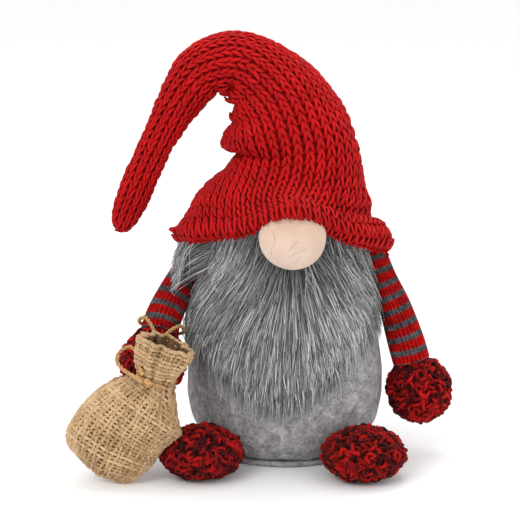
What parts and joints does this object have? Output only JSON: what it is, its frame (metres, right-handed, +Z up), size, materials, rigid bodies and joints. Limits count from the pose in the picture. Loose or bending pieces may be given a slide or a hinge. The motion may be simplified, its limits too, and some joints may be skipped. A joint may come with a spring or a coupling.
{
  "type": "tomte gnome figurine",
  "caption": "Weighted felt gnome that stands on its base, with a fur beard, ball nose, bending knit hat tail, swinging knit arms, boucle mittens and feet, and a burlap sack tied to one wrist.",
  "frame": {"origin": "centre of the flat felt base, on the surface that the gnome stands on", "axes": "+Z up, the gnome faces -Y, and its right hand, which holds the sack, is at -X"},
  "size_m": [0.2801, 0.1756, 0.3116],
  "materials": {
    "grey_felt": "heathered pressed felt",
    "card": "grey-brown pasteboard",
    "calico": "plain woven cotton bag of plastic pellets",
    "stuffing": "loose polyester fibre",
    "nose_jersey": "smooth fine jersey",
    "fur_backing": "knitted backing cloth",
    "grey_fur": "long straight faux fur, dark at the root and light at the tip",
    "striped_knit": "fine stocking-stitch knit in red and dark grey rings",
    "red_boucle": "curled boucle yarn in bright and dark red",
    "red_knit": "chunky stocking-stitch knit",
    "burlap": "open plain-woven jute",
    "jute_twine": "two-ply hairy jute twine"
  },
  "bodies": {
    "body": {"felt_body": "grey_felt", "felt_base": "grey_felt", "base_card": "card", "pellet_bag": "calico", "body_stuffing": "stuffing", "nose_skin": "nose_jersey", "nose_filling": "stuffing", "beard_backing": "fur_backing", "beard_pile": "grey_fur", "hat_crown": "red_knit", "hat_crown_stuffing": "stuffing", "foot_right": "red_boucle", "foot_stuffing_right": "stuffing", "foot_left": "red_boucle", "foot_stuffing_left": "stuffing"},
    "hat_end": {"hat_tail": "red_knit", "hat_tail_stuffing": "stuffing"},
    "arm_right": {"sleeve_right": "striped_knit", "sleeve_stuffing_right": "stuffing", "mitten_right": "red_boucle", "mitten_stuffing_right": "stuffing", "wrist_loop": "jute_twine"},
    "arm_left": {"sleeve_left": "striped_knit", "sleeve_stuffing_left": "stuffing", "mitten_left": "red_boucle", "mitten_stuffing_left": "stuffing"},
    "sack": {"sack_cloth": "burlap", "sack_stuffing": "stuffing", "sack_tie": "jute_twine", "sack_bow": "jute_twine"}
  },
  "joints": [
    {"name": "hat_fold", "type": "hinge", "parent": "body", "child": "hat_end", "pos_m": [-0.04401, 0, 0.29], "axis": [0, 1, 0], "range_deg": [-8, 35]},
    {"name": "shoulder_right", "type": "hinge", "parent": "body", "child": "arm_right", "pos_m": [-0.0661, 0, 0.15], "axis": [-1, 0, 0], "range_deg": [0, 38]},
    {"name": "shoulder_left", "type": "hinge", "parent": "body", "child": "arm_left", "pos_m": [0.0661, 0, 0.15], "axis": [-1, 0, 0], "range_deg": [-40, 70]},
    {"name": "sack_swing", "type": "hinge", "parent": "arm_right", "child": "sack", "pos_m": [-0.09513, -0.07377, 0.0716], "axis": [0, 1, 0], "range_deg": [0, 30]}
  ]
}
